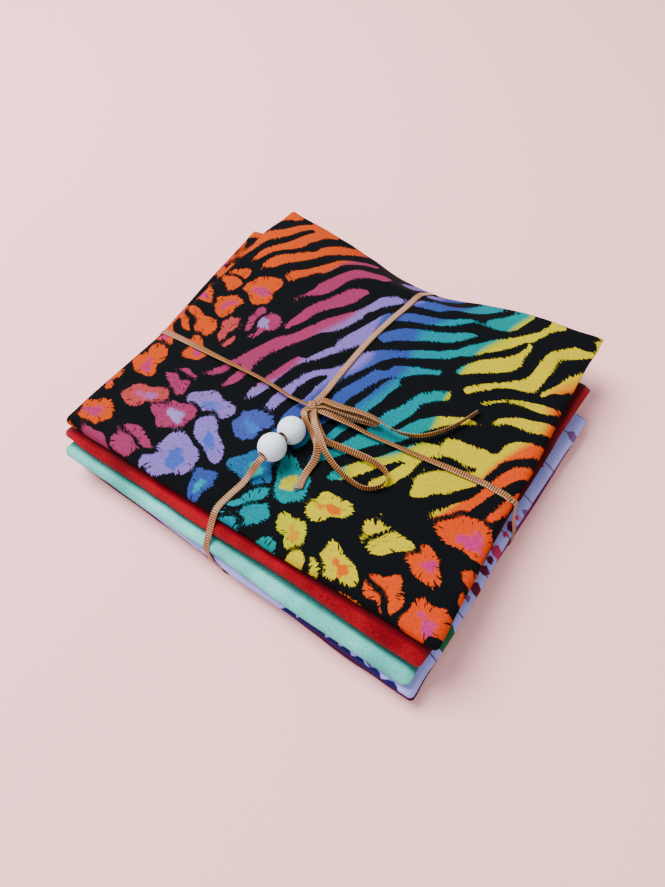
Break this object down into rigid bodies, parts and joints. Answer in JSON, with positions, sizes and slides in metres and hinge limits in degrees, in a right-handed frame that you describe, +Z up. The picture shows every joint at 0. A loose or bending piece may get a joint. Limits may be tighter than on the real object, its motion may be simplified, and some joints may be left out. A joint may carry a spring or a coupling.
{
  "type": "fat quarter bundle",
  "caption": "Stack of folded quilting cottons tied with narrow ribbon, with wooden beads on the ribbon and a small bow on top.",
  "frame": {"origin": "middle of the bundle's outline in plan, on the surface it rests on", "axes": "+X along the front folds from left to right, +Y from the front folds to the back, +Z up"},
  "size_m": [0.1966, 0.1864, 0.0415],
  "materials": {
    "print_cotton": "matt, bright animal-skin print on a black ground",
    "red_cotton": "matt, brushed",
    "mint_flannel": "matt, raised nap",
    "lilac_cotton": "matt, printed",
    "plum_cotton": "matt",
    "ribbon": "satin, fine cross ribs",
    "bead_wood": "matt, painted white"
  },
  "bodies": {
    "root": {"cloth_print": "print_cotton", "cloth_red": "red_cotton", "cloth_mint": "mint_flannel", "cloth_lilac": "lilac_cotton", "cloth_plum": "plum_cotton", "ribbon_front_right": "ribbon", "ribbon_back_left": "ribbon", "ribbon_knot": "ribbon", "bow_loop_large": "ribbon", "bow_loop_small": "ribbon", "bow_tail_short": "ribbon", "bow_tail_long": "ribbon", "bead_far": "bead_wood", "bead_near": "bead_wood"}
  },
  "joints": []
}
